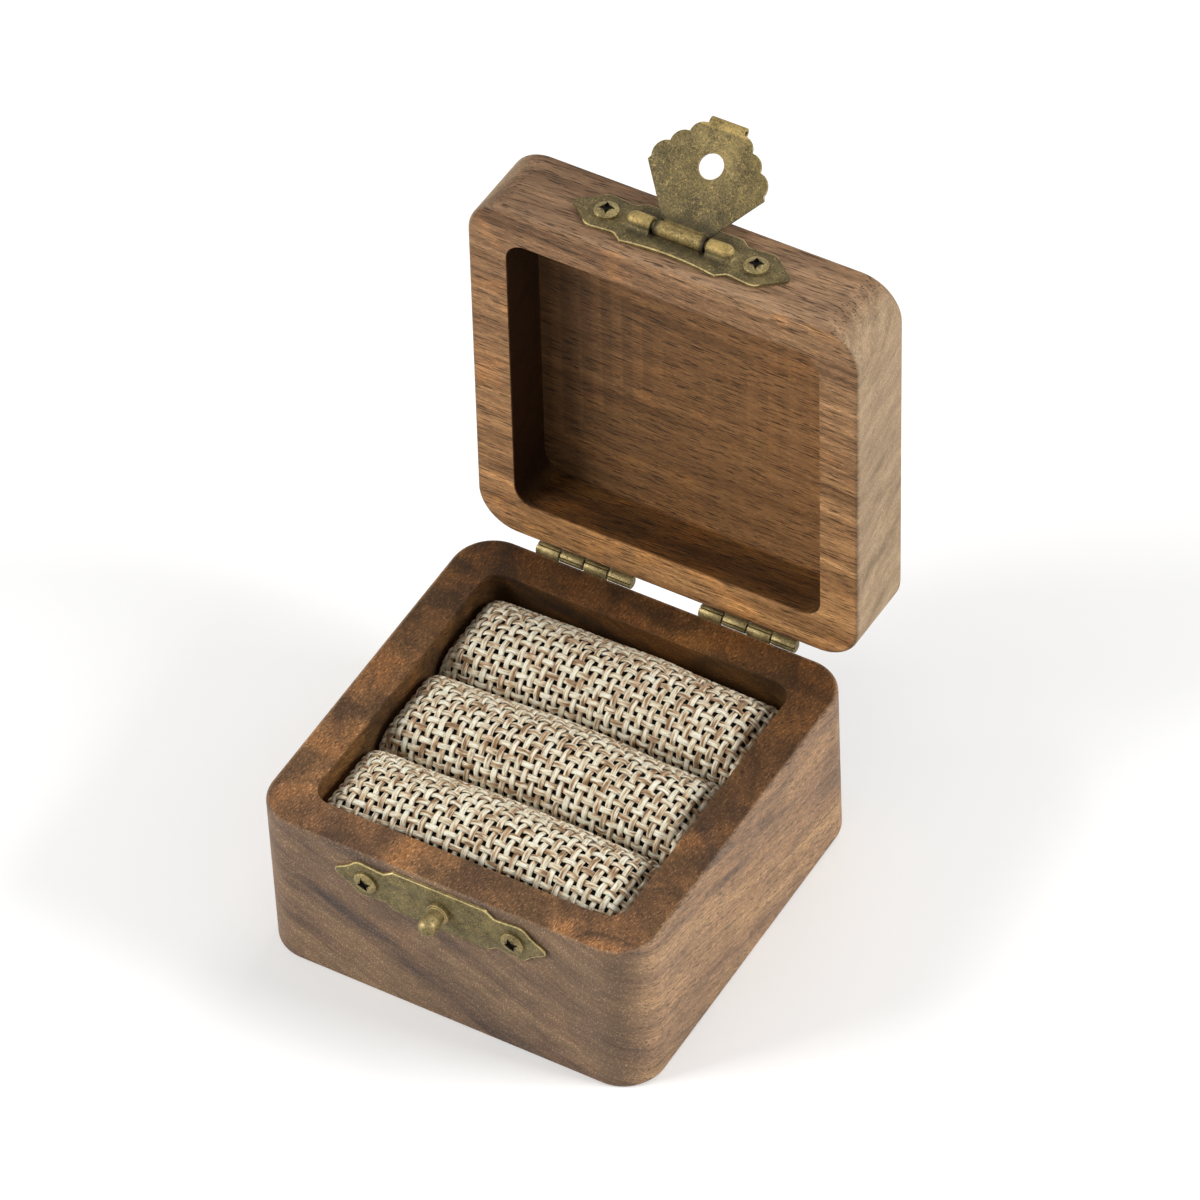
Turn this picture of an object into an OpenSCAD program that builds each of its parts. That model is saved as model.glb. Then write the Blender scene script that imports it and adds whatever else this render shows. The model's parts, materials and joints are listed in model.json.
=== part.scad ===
// Ring display box: a block of walnut with a milled pocket, a walnut lid on two butt hinges,
// a hasp at the front and three padded rolls that hold rings between them.
// The lid stands open and the hasp's flap lies swung back, as the box is shown.
// X runs left to right, Y front to back, Z up, from the middle of the base's underside.

/* [Box] */
// Outer width of the box, left to right
box_w = 60; // [54:1:80]
// Outer depth of the box, front to back
box_d = 60; // [54:1:80]
// Height of the base
base_h = 27; // [24:0.5:40]
// Height of the lid
lid_h = 12.3; // [10.4:0.2:20]
// Thickness of the side walls of base and lid
wall = 5.9; // [5.4:0.1:8]
// Thickness of the wood under the base's pocket
floor_t = 6; // [3:0.5:7]
// Thickness of the wood over the lid's pocket
top_t = 3.9; // [2:0.2:5]
// Radius of the upright outer corners
corner_r = 6.2; // [4:0.2:9]
// Radius of the upright corners of both pockets
pocket_r = 3.1; // [2:0.1:6]
// Rounding of the outer edges at top and bottom
ease_r = 0.5; // [0.2:0.1:0.8]
// Gap between the two rims when the lid is shut
rim_gap = 0.1; // [0.05:0.05:0.3]
// Angle by which the lid stands open
lid_open = 92; // [60:1:110]

/* [Cushion] */
// Height of the rolls' crowns above the underside of the box
crown_z = 26.3; // [22:0.1:27]
// Radius of the long shoulders of a roll
shoulder_r = 6.5; // [4:0.1:7]
// Radius of the two ends of a roll
end_r = 4.5; // [3:0.1:6]
// Thickness of the burlap cover
cover_t = 0.7; // [0.4:0.1:1.2]
// Thickness of the card under the rolls
board_t = 1.2; // [0.8:0.1:2]
// Clearance round each roll and round the card
roll_gap = 0.15; // [0.1:0.05:0.3]

/* [Hinges] */
// Width of one hinge, along its pin
hinge_w = 15; // [13:0.2:18]
// Distance between the middles of the two hinges
hinge_pitch = 25.8; // [22:0.2:30]
// Height of one leaf, from the pin's axis
leaf_h = 6.6; // [6:0.1:8]
// Thickness of the hinge sheet
leaf_t = 0.45; // [0.35:0.05:0.6]
// Radius of the hinge pin
hinge_pin_r = 0.43; // [0.35:0.02:0.6]
// Gap between one knuckle and the next
knuckle_gap = 0.26; // [0.08:0.02:0.36]
// Distance between the two screws of one leaf
hinge_screw_pitch = 8.8; // [7:0.2:10]
// Height of the screws from the pin's axis
hinge_screw_y = 4.2; // [3.6:0.1:5]

/* [Hasp and catch] */
// Height of the middle of the hasp plate above the lid's rim
hasp_z = 5.6; // [4.8:0.1:6]
// Height of the middle of the catch plate below the base's rim
catch_drop = 4.4; // [4.2:0.1:8]
// Length of both plates, tip to tip
plate_w = 32.8; // [30:0.2:36]
// Width of the middle part of both plates, shoulder to shoulder
plate_mid_w = 14.6; // [13:0.2:16]
// Height of the middle part of the hasp plate
hasp_plate_h = 8.1; // [7.4:0.1:9]
// Height of the middle part of the catch plate
catch_plate_h = 7.6; // [7.4:0.1:8]
// Thickness of both plates
plate_t = 0.5; // [0.4:0.05:0.7]
// Rise of the arc in the hasp plate's edge beside the rim
plate_bow = 0.6; // [0.2:0.1:1]
// Distance between the two screws of a plate
plate_screw_pitch = 22.9; // [21.5:0.1:24]
// Length of the flap's rolled barrel
barrel_w = 7.6; // [6:0.1:8]
// Gap between the barrel and each end of its window
barrel_gap = 0.5; // [0.2:0.05:0.6]
// Length of each hump that holds the flap's pin
hump_w = 3.8; // [3:0.1:4]
// Radius of the hollow where a hump runs out into its plate
hump_foot_r = 1; // [0.5:0.1:1.2]
// Thickness of the flap
flap_t = 0.4; // [0.3:0.05:0.5]
// Radius of the flap's pin
flap_pin_r = 0.65; // [0.4:0.05:0.7]
// Clearance between the flap's rolled barrel and the wood
barrel_lift = 0.08; // [0.05:0.01:0.3]
// Angle by which the flap is swung back from hanging
flap_swing = 140; // [120:1:150]
// Widest half-width of the flap, at its side corners
flap_half_w = 8.9; // [8:0.1:9.2]
// Distance of the side corners from the flap's pin
flap_corner_y = 8.2; // [7.5:0.1:9]
// Distance of the tip's lip from the flap's pin
flap_l = 16.6; // [15.6:0.1:18]
// Width of the curled lip at the tip
lip_w = 5.3; // [4:0.1:6]
// Inner radius of the curled lip
lip_r = 0.36; // [0.25:0.01:0.5]
// Radius of the scallops along the fan's edge
scallop_r = 2.1; // [2:0.1:2.6]
// Distance of the hole's middle from the flap's pin
flap_hole_y = 10.1; // [9:0.1:11]
// Radius of the hole that goes over the stud
flap_hole_r = 1.8; // [1.6:0.1:2.2]

/* [Stud and screws] */
// Length of the stud in front of the catch plate
stud_l = 4.4; // [3.5:0.1:5]
// Radius of the stud's rounded head
stud_r = 1.4; // [1.2:0.05:1.5]
// Radius of the stud's neck
stud_neck_r = 1.24; // [0.8:0.02:1.3]
// Length of the stud's neck
stud_neck_l = 1.7; // [1.5:0.1:1.8]
// Radius of the collar at the stud's root
collar_r = 1.65; // [1.5:0.05:1.8]
// Height of the collar
collar_h = 0.7; // [0.3:0.1:0.9]
// Radius of the plate screws' heads
plate_head_r = 1.7; // [1.4:0.05:1.8]
// Height of the plate screws' heads
plate_head_h = 0.9; // [0.6:0.05:1.1]
// Radius of the plate screws' shanks
plate_shank_r = 0.85; // [0.7:0.05:1]
// Radius of the hinge screws' heads
hinge_head_r = 1.15; // [1:0.05:1.4]
// Height of the hinge screws' heads
hinge_head_h = 0.5; // [0.4:0.05:0.55]
// Radius of the hinge screws' shanks
hinge_shank_r = 0.55; // [0.45:0.05:0.7]
// Depth that every screw reaches into the wood
screw_l = 4.6; // [3.5:0.1:5]
// Reach of the star-shaped recess as a share of its head's radius
recess_reach = 0.72; // [0.5:0.02:0.8]
// Share of that reach left between two points of the star
recess_hollow = 0.46; // [0.3:0.02:0.6]
// Angle at which the recesses were left when the screws were driven home
recess_turn = 22; // [0:1:45]

/* [Hidden] */
$fn = 64;
// Radial clearance of a pin in its bore
pin_gap = 0.02;
// Clearance of a screw's shank in its hole
shank_gap = 0.05;
// Length by which a cut passes the face that it opens
over = 1;
pocket_w = box_w - 2 * wall;
pocket_d = box_d - 2 * wall;
// Hinges: the sheet lies flat on the wood and rolls round the pin on the far side
hinge_bore_r = hinge_pin_r + pin_gap;
knuckle_r = hinge_bore_r + leaf_t;
knuckle_w = (hinge_w - 3 * knuckle_gap) / 4;
// Slit where the rolled sheet of a knuckle closes, and its angle round the pin
seam_w = 0.16;
seam_turn = 200;
axis_y = box_d / 2 + knuckle_r;
axis_z = base_h + rim_gap / 2;
// Hasp: the flap's pin lies this far in front of the wood
flap_bore_r = flap_pin_r + pin_gap;
barrel_r = flap_bore_r + flap_t;
flap_pin_h = barrel_r + barrel_lift;
window_w = barrel_w + 2 * barrel_gap;
hump_r = flap_bore_r + plate_t;
// Middle of the hollow round a hump's foot, which cuts the hump and the plate at a low angle
foot_z = plate_t + hump_foot_r * 0.94;
foot_y = sqrt(pow((hump_r + hump_foot_r) * 0.985, 2) - pow(foot_z - flap_pin_h, 2));
pin_l = window_w + 2 * hump_w - 2 * hump_r;
// The window's upper edge stops the flap at its swung angle
stop_gap = 0.05;
stop_run = (plate_t - flap_pin_h - cos(flap_swing) * barrel_r) / sin(flap_swing);
window_top = sin(flap_swing) * barrel_r - cos(flap_swing) * stop_run + stop_gap;
window_gap = 0.1;
window_low = -sqrt(pow(barrel_r, 2) - pow(flap_pin_h - plate_t, 2)) - window_gap;
// Cushion: three equal rolls side by side on the card
board_z = floor_t + board_t;
roll_pitch = pocket_d / 3;
lid_z = base_h + rim_gap;
catch_z = base_h - catch_drop;

// Places a shape drawn flat (x across, y up, z outwards) on the front face at height z
module on_front(z) {
    translate([0, -box_d / 2, z]) rotate([90, 0, 0]) children();
}

// The same on the back face, with y pointing down
module on_back(z) {
    translate([0, box_d / 2, z]) rotate([-90, 0, 0]) children();
}

// Swings what belongs to the lid from shut to open
module lid_pose() {
    translate([0, axis_y, axis_z]) rotate([-lid_open, 0, 0])
        translate([0, -axis_y, -axis_z]) children();
}

// Extrudes a profile drawn in (y, z) along X, centred
module along_x(l) {
    rotate([90, 0, 90]) linear_extrude(height = l, center = true) children();
}

// Extrudes a profile drawn in (x, z) along Y, centred
module along_y(l) {
    rotate([90, 0, 0]) linear_extrude(height = l, center = true) children();
}

// Rectangle with round corners, centred
module round_rect(w, h, r) {
    square([w - 2 * r, h], center = true);
    square([w, h - 2 * r], center = true);
    for (x = [-1, 1], y = [-1, 1])
        translate([x * (w / 2 - r), y * (h / 2 - r)]) circle(r);
}

// Block with round upright corners and eased top and bottom edges, standing on z = 0
module eased_block(w, d, h, r, e) {
    translate([0, 0, h / 2]) {
        along_x(w - 2 * r) round_rect(d, h, e);
        along_y(d - 2 * r) round_rect(w, h, e);
        for (x = [-1, 1], y = [-1, 1])
            translate([x * (w / 2 - r), y * (d / 2 - r), 0]) rotate_extrude()
                intersection() {
                    round_rect(2 * r, h, e);
                    translate([0, -h]) square([r + over, 2 * h]);
                }
    }
}

// Milled pocket, from its floor upwards
module pocket(h) {
    linear_extrude(height = h) round_rect(pocket_w, pocket_d, pocket_r);
}

// Two places for the screws of one plate
module at_plate_screws() {
    for (x = [-1, 1]) translate([x * plate_screw_pitch / 2, 0, 0]) children();
}

// Four places for the screws of the two leaves on one side of the parting line
module at_hinge_screws() {
    for (h = [-1, 1], x = [-1, 1])
        translate([h * hinge_pitch / 2 + x * hinge_screw_pitch / 2, hinge_screw_y, 0]) children();
}

// Hole for a screw's shank, from the face inwards
module pilot(r) {
    translate([0, 0, -screw_l - shank_gap]) cylinder(r = r + shank_gap, h = screw_l + shank_gap + over);
}

// Pan-head wood screw with a cross recess, its head seated at height z
module screw(head_r, head_h, shank_r, z) {
    dome_r = (head_r * head_r + head_h * head_h / 4) / head_h;
    difference() {
        union() {
            translate([0, 0, z]) intersection() {
                cylinder(r = head_r, h = head_h);
                translate([0, 0, head_h - dome_r]) sphere(dome_r);
            }
            translate([0, 0, -screw_l + shank_r]) cylinder(r = shank_r, h = screw_l - shank_r + z);
            translate([0, 0, -screw_l]) cylinder(r1 = 0.1, r2 = shank_r, h = shank_r);
        }
        translate([0, 0, z + head_h * 0.35]) linear_extrude(height = head_h) rotate(recess_turn)
            polygon([for (i = [0:7]) head_r * recess_reach * (i % 2 == 0 ? 1 : recess_hollow)
                * [cos(45 * i), sin(45 * i)]]);
    }
}

// Base and lid
module base_box() {
    color("saddlebrown") difference() {
        eased_block(box_w, box_d, base_h, corner_r, ease_r);
        translate([0, 0, floor_t]) pocket(base_h);
        on_front(catch_z) at_plate_screws() pilot(plate_shank_r);
        on_back(axis_z) at_hinge_screws() pilot(hinge_shank_r);
    }
}

module lid_box() {
    color("sienna") lid_pose() difference() {
        translate([0, 0, lid_z]) eased_block(box_w, box_d, lid_h, corner_r, ease_r);
        translate([0, 0, lid_z - over]) pocket(lid_h - top_t + over);
        on_front(lid_z + hasp_z) at_plate_screws() pilot(plate_shank_r);
        on_back(axis_z) mirror([0, 1, 0]) at_hinge_screws() pilot(hinge_shank_r);
    }
}

// Cushion: row -1 is the front roll, 0 the middle one and 1 the back one.
// The form is drawn smaller by i all round, and runs down to height z.
module roll_form(row, i, z) {
    half = roll_pitch / 2 - roll_gap - i;
    r = shoulder_r - i;
    top = crown_z - i;
    ends = pocket_w / 2 - roll_gap - i;
    intersection() {
        translate([0, row * roll_pitch, 0]) along_x(pocket_w) {
            translate([-half, z]) square([2 * half, top - r - z]);
            translate([r - half, z]) square([2 * (half - r), top - z]);
            for (s = [-1, 1]) translate([s * (half - r), top - r]) circle(r);
        }
        along_y(box_d) {
            translate([-ends, z]) square([2 * ends, top - end_r + i - z]);
            translate([end_r - i - ends, z]) square([2 * (ends - end_r + i), top - z]);
            for (s = [-1, 1]) translate([s * (ends - end_r + i), top - end_r + i]) circle(end_r - i);
        }
        translate([0, 0, z]) linear_extrude(height = base_h)
            round_rect(2 * ends, pocket_d - 2 * roll_gap - 2 * i, pocket_r - i);
    }
}

module foam(row) {
    color("black") roll_form(row, cover_t + 0.05, board_z);
}

module cover(row) {
    color("tan") difference() {
        roll_form(row, 0, board_z);
        roll_form(row, cover_t, board_z - over);
    }
}

module insert_board() {
    color("burlywood") translate([0, 0, floor_t]) linear_extrude(height = board_t)
        round_rect(pocket_w - 2 * roll_gap, pocket_d - 2 * roll_gap, pocket_r - roll_gap);
}

// One hinge leaf drawn flat: y runs away from the pin, z outwards from the wood.
// The first knuckle is number k, counted from the left, and every second one follows.
module leaf(k) {
    root = knuckle_r + 0.25;
    difference() {
        translate([0, (leaf_h + root) / 2, 0]) linear_extrude(height = leaf_t)
            round_rect(hinge_w, leaf_h - root, 0.7);
        for (x = [-1, 1]) translate([x * hinge_screw_pitch / 2, hinge_screw_y, -over])
            cylinder(r = hinge_shank_r + 0.15, h = leaf_t + 2 * over);
    }
    for (n = [k, k + 2])
        translate([-hinge_w / 2 + knuckle_w / 2 + n * (knuckle_w + knuckle_gap), 0, 0])
            along_x(knuckle_w) difference() {
                union() {
                    translate([0, knuckle_r]) circle(knuckle_r);
                    square([root + 0.8, leaf_t]);
                }
                translate([0, knuckle_r]) circle(hinge_bore_r);
                translate([0, knuckle_r]) rotate(seam_turn) translate([hinge_bore_r * 0.8, -seam_w / 2])
                    square([knuckle_r, seam_w]);
            }
}

// side is -1 for the left hinge and 1 for the right one
module base_leaf(side) {
    color("darkgoldenrod") on_back(axis_z) translate([side * hinge_pitch / 2, 0, 0]) leaf(0);
}

module lid_leaf(side) {
    color("peru") lid_pose() on_back(axis_z) translate([side * hinge_pitch / 2, 0, 0])
        mirror([0, 1, 0]) leaf(1);
}

module hinge_pin(side) {
    color("dimgray") translate([side * hinge_pitch / 2 - hinge_w / 2, axis_y, axis_z])
        rotate([0, 90, 0]) cylinder(r = hinge_pin_r, h = hinge_w);
}

module hinge_base_screws() {
    color("goldenrod") on_back(axis_z) at_hinge_screws()
        screw(hinge_head_r, hinge_head_h, hinge_shank_r, leaf_t);
}

module hinge_lid_screws() {
    color("goldenrod") lid_pose() on_back(axis_z) mirror([0, 1, 0]) at_hinge_screws()
        screw(hinge_head_r, hinge_head_h, hinge_shank_r, leaf_t);
}

// A list of points mirrored by the signs x and y, and the same list run backwards
function flip(points, x, y) = [for (p = points) [x * p[0], y * p[1]]];
function turn(points) = [for (i = [len(points) - 1:-1:0]) points[i]];

// Upper right quarter of a plate's outline: shoulder, notch, ear and blunt tip
function plate_quarter(h, m, t, ear) = [[m, h / 2], [m + 1.3, ear - 0.3], [m + 2, ear - 0.32],
    [t - 4.3, ear], [t - 3.6, ear - 0.08], [t - 3.1, ear - 0.35], [t - 2.4, ear - 1.15],
    [t - 1.6, ear - 1.75], [t - 0.6, 0.8], [t - 0.15, 0.5], [t, 0.2]];

module plate_outline(h) {
    quarter = plate_quarter(h, plate_mid_w / 2, plate_w / 2, h / 2 - 0.65);
    polygon(concat(quarter, turn(flip(quarter, 1, -1)), flip(quarter, -1, -1),
        turn(flip(quarter, -1, 1))));
}

// Section of a hump: round over the pin, running out into the plate in a hollow on each side
module hump_section() {
    translate([0, flap_pin_h]) circle(hump_r);
    top = flap_pin_h + hump_r * (foot_z - flap_pin_h) / (hump_r + hump_foot_r);
    difference() {
        translate([-foot_y, 0]) square([2 * foot_y, top]);
        for (y = [-1, 1]) translate([y * foot_y, foot_z]) circle(hump_foot_r);
    }
}

// A hump, pressed up out of the plate over the end of the flap's pin
module hump() {
    straight = hump_w - hump_r;
    translate([window_w / 2 + straight / 2, 0, 0]) along_x(straight) hump_section();
    translate([window_w / 2 + straight, 0, 0]) rotate_extrude() intersection() {
        hump_section();
        translate([0, -over]) square([foot_y + over, 2 * hump_r + flap_pin_h + over]);
    }
}

module hasp_plate() {
    bow_half = plate_mid_w / 2 - 0.3;
    bow_r = (bow_half * bow_half + plate_bow * plate_bow) / (2 * plate_bow);
    color("olive") lid_pose() on_front(lid_z + hasp_z) difference() {
        union() {
            linear_extrude(height = plate_t) difference() {
                plate_outline(hasp_plate_h);
                translate([0, plate_bow - hasp_plate_h / 2 - bow_r]) circle(bow_r, $fn = 256);
            }
            for (x = [0, 1]) mirror([x, 0, 0]) hump();
        }
        translate([-window_w / 2, window_low, -over])
            cube([window_w, window_top - window_low, plate_t + 2 * over]);
        translate([-box_w / 2, -hasp_plate_h, -2 * over]) cube([box_w, 2 * hasp_plate_h, 2 * over]);
        translate([-pin_l / 2 - pin_gap, 0, flap_pin_h]) rotate([0, 90, 0])
            cylinder(r = flap_bore_r, h = pin_l + 2 * pin_gap);
        translate([-pin_l / 2 - pin_gap, -flap_bore_r, -over])
            cube([pin_l + 2 * pin_gap, 2 * flap_bore_r, flap_pin_h + over]);
        at_plate_screws() translate([0, 0, -over])
            cylinder(r = plate_shank_r + 0.15, h = plate_t + 2 * over);
    }
}

module hasp_pin() {
    color("dimgray") lid_pose() on_front(lid_z + hasp_z)
        translate([-pin_l / 2, 0, flap_pin_h]) rotate([0, 90, 0]) cylinder(r = flap_pin_r, h = pin_l);
}

module hasp_screws() {
    color("goldenrod") lid_pose() on_front(lid_z + hasp_z) at_plate_screws()
        screw(plate_head_r, plate_head_h, plate_shank_r, plate_t);
}

// A scallop: the circle of scallop_r through two points of the fan's edge
module scallop(a, b) {
    mid = (a + b) / 2;
    half = norm(b - a) / 2;
    n = [b[1] - a[1], a[0] - b[0]] / (2 * half);
    translate(mid - n * sqrt(scallop_r * scallop_r - half * half)) circle(scallop_r);
}

// The fan of the flap, with y running from the pin to the tip and three scallops a side
module flap_outline() {
    edge_0 = [flap_half_w - 0.3, flap_corner_y + 0.55];
    edge_3 = [lip_w / 2, flap_l - 1.1];
    edge_1 = edge_0 + (edge_3 - edge_0) * 0.34 + [0.3, 0.5];
    edge_2 = edge_0 + (edge_3 - edge_0) * 0.68 + [0.2, 0.3];
    half = [[barrel_w / 2, 0], [barrel_w / 2, barrel_r + 0.35], [flap_half_w, flap_corner_y],
        edge_0, edge_1, edge_2, edge_3, [lip_w / 2, flap_l - lip_r - flap_t]];
    polygon(concat(half, turn(flip(half, -1, 1))));
    for (x = [0, 1]) mirror([x, 0]) {
        scallop(edge_0, edge_1);
        scallop(edge_1, edge_2);
        scallop(edge_2, edge_3);
    }
}

// The flap drawn hanging: rolled barrel round the pin, fan with its hole, and curled lip
module flap_form() {
    lip_y = lip_r + flap_t - flap_l;
    translate([0, 0, flap_bore_r]) linear_extrude(height = flap_t) difference() {
        mirror([0, 1]) flap_outline();
        translate([0, -flap_hole_y]) circle(flap_hole_r);
        translate([-barrel_w / 2 - over, -barrel_r]) square([barrel_w + 2 * over, barrel_r + over]);
    }
    along_x(barrel_w) difference() {
        union() {
            circle(barrel_r);
            translate([-barrel_r - 0.2, flap_bore_r]) square([barrel_r + 0.2, flap_t]);
        }
        circle(flap_bore_r);
        translate([-barrel_r - over, flap_bore_r - 0.15]) square([barrel_r - flap_bore_r * 0.5 + over, 0.15]);
    }
    along_x(lip_w) translate([lip_y, barrel_r + lip_r]) difference() {
        circle(lip_r + flap_t);
        circle(lip_r);
        translate([0, -lip_r - flap_t - over]) square([lip_r + flap_t + over, lip_r + flap_t + over]);
    }
}

module hasp_flap() {
    color("darkkhaki") lid_pose() on_front(lid_z + hasp_z) translate([0, 0, flap_pin_h])
        rotate([-flap_swing, 0, 0]) flap_form();
}

module catch_plate() {
    color("olive") on_front(catch_z) linear_extrude(height = plate_t) difference() {
        plate_outline(catch_plate_h);
        for (x = [-1, 1]) translate([x * plate_screw_pitch / 2, 0]) circle(plate_shank_r + 0.15);
        circle(stud_neck_r + pin_gap);
    }
}

// Stud: shank through the plate, collar, neck and rounded head
module catch_stud() {
    color("khaki") on_front(catch_z) {
        cylinder(r = stud_neck_r, h = plate_t + stud_neck_l + 0.3);
        translate([0, 0, plate_t]) cylinder(r = collar_r, h = collar_h);
        translate([0, 0, plate_t + stud_neck_l])
            cylinder(r1 = stud_neck_r, r2 = stud_r, h = 0.5);
        translate([0, 0, plate_t + stud_neck_l + 0.5])
            cylinder(r = stud_r, h = stud_l - stud_neck_l - 0.5 - stud_r);
        translate([0, 0, plate_t + stud_l - stud_r]) sphere(stud_r);
    }
}

module catch_screws() {
    color("goldenrod") on_front(catch_z) at_plate_screws()
        screw(plate_head_r, plate_head_h, plate_shank_r, plate_t);
}

base_box();
lid_box();
insert_board();
foam(1);  // foam_back
foam(0);  // foam_middle
foam(-1);  // foam_front
cover(1);  // cover_back
cover(0);  // cover_middle
cover(-1);  // cover_front
base_leaf(-1);  // hinge_left_base_leaf
lid_leaf(-1);  // hinge_left_lid_leaf
hinge_pin(-1);  // hinge_left_pin
base_leaf(1);  // hinge_right_base_leaf
lid_leaf(1);  // hinge_right_lid_leaf
hinge_pin(1);  // hinge_right_pin
hinge_base_screws();
hinge_lid_screws();
hasp_plate();
hasp_pin();
hasp_flap();
hasp_screws();
catch_plate();
catch_stud();
catch_screws();
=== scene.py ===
# Looks of a walnut ring display box: oiled wood, antique bronze hardware and burlap rolls.
# Sizes of the box are in millimetres, and MM turns them into metres. Those of the floor and the
# lamps are in metres.

import math

import bpy
import numpy as np
from mathutils import Matrix, Vector, noise
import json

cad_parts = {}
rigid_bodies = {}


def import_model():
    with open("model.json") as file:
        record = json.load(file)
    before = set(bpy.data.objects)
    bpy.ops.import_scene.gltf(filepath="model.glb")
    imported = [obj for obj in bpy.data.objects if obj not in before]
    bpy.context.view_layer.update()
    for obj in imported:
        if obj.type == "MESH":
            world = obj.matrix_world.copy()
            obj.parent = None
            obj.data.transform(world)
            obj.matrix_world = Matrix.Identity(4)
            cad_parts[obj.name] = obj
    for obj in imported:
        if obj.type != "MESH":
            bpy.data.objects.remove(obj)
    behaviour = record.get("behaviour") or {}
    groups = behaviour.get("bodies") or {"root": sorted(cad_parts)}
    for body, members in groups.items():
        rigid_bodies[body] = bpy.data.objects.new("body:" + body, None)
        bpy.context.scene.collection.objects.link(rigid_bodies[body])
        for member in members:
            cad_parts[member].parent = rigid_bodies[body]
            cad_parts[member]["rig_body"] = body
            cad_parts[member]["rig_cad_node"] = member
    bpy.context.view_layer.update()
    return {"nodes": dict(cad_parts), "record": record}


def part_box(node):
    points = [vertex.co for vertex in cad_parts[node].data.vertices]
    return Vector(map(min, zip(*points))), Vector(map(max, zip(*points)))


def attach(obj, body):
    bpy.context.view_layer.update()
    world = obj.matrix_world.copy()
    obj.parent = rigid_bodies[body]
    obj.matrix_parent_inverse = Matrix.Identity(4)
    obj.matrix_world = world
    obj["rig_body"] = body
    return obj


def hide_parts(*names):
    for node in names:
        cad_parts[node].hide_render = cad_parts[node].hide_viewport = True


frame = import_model()
bpy.ops.object.select_all(action="DESELECT")
nodes = frame["nodes"]
MM = 0.001

# Base box: a block of walnut with a milled pocket, sanded and oiled.
# The grain runs front to back and rises a little towards the front, so the front shows end grain.


def new_material(name):
    material = bpy.data.materials.new(name)
    material.use_nodes = True
    material.node_tree.nodes.clear()
    return material


def add(owner, kind, inputs=None, **settings):
    """Adds one node to a material or world, sets its settings, and links or sets its inputs"""
    made = owner.node_tree.nodes.new(kind)
    for name, value in settings.items():
        setattr(made, name, value)
    for socket, value in (inputs or {}).items():
        if isinstance(value, bpy.types.NodeSocket):
            owner.node_tree.links.new(value, made.inputs[socket])
        else:
            made.inputs[socket].default_value = value
    return made


def in_mm(material):
    """The piece's own coordinates in millimetres"""
    place = add(material, "ShaderNodeTexCoord").outputs["Object"]
    return add(material, "ShaderNodeMapping", {"Vector": place, "Scale": (1 / MM, 1 / MM, 1 / MM)}).outputs[0]


def spread_noise(material, vector, lengths, detail=3.0, rough=0.55, distortion=0.0):
    """Noise whose features have these lengths along the three axes, in millimetres"""
    scaled = add(material, "ShaderNodeMapping", {"Vector": vector, "Scale": [1 / l for l in lengths]})
    made = add(material, "ShaderNodeTexNoise", {
        "Vector": scaled.outputs[0], "Scale": 1.0, "Detail": detail, "Roughness": rough,
        "Distortion": distortion})
    return made.outputs[0]


def ramp(material, factor, stops):
    """Turns a factor into a colour or a grey by stops of (place, value)"""
    made = add(material, "ShaderNodeValToRGB", {0: factor})
    points = made.color_ramp.elements
    while len(points) < len(stops):
        points.new(0.5)
    for point, (place, value) in zip(points, stops):
        colour = (value, value, value) if isinstance(value, float) else value
        point.position = place
        point.color = (*colour, 1.0)
    return made.outputs[0]


def opaque(colour):
    """A colour from another node as it is, or three numbers with full opacity"""
    return colour if isinstance(colour, bpy.types.NodeSocket) else (*colour, 1.0)


def mix(material, factor, first, second, how="MIX"):
    """The first colour at factor 0 and the second at 1, or their blend by another way"""
    return add(material, "ShaderNodeMix", {0: factor, 6: opaque(first), 7: opaque(second)},
               data_type="RGBA", blend_type=how).outputs[2]


def tinted(material, colour, tint, where=1.0):
    """Multiplies a colour by a tint, all over or where a mask says"""
    return mix(material, where, colour, tint, "MULTIPLY")


def math_node(material, how, first, second=0.0, clamp=False):
    return add(material, "ShaderNodeMath", {0: first, 1: second}, operation=how,
               use_clamp=clamp).outputs[0]


def product(material, first, *others):
    for other in others:
        first = math_node(material, "MULTIPLY", first, other)
    return first


def larger(material, first, second):
    return math_node(material, "MAXIMUM", first, second)


def less(material, first, second, clamp=False):
    return math_node(material, "SUBTRACT", first, second, clamp)


def apart(material, value, middle=0.0):
    """How far a value is from a middle one, to either side"""
    return math_node(material, "ABSOLUTE", less(material, value, middle))


def hypotenuse(material, first, second):
    """Length of the slanted side over two square ones"""
    squares = [math_node(material, "POWER", side, 2.0) for side in (first, second)]
    return math_node(material, "SQRT", math_node(material, "ADD", *squares))


def smooth_step(material, value, low, high):
    """From 0 to 1 as the value goes from low to high, eased at both ends"""
    return add(material, "ShaderNodeMapRange", {0: value, 1: low, 2: high},
               interpolation_type="SMOOTHSTEP").outputs[0]


def straight_step(material, value, low, high):
    """From 0 to 1 as the value goes from low to high, evenly"""
    return add(material, "ShaderNodeMapRange", {0: value, 1: low, 2: high}).outputs[0]


def separate(material, vector):
    return add(material, "ShaderNodeSeparateXYZ", {0: vector}).outputs


def finish_material(material, colour, rough, height=None, height_mm=0.0, **constants):
    """Closes a material with one shader, a bump in millimetres and the constant sockets"""
    inputs = {"Base Color": colour, "Roughness": rough, **constants}
    if height is not None:
        inputs["Normal"] = add(material, "ShaderNodeBump", {
            "Height": height, "Distance": height_mm * MM, "Strength": 1.0}).outputs[0]
    shader = add(material, "ShaderNodeBsdfPrincipled", inputs)
    add(material, "ShaderNodeOutputMaterial", {"Surface": shader.outputs[0]})
    return material


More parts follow.
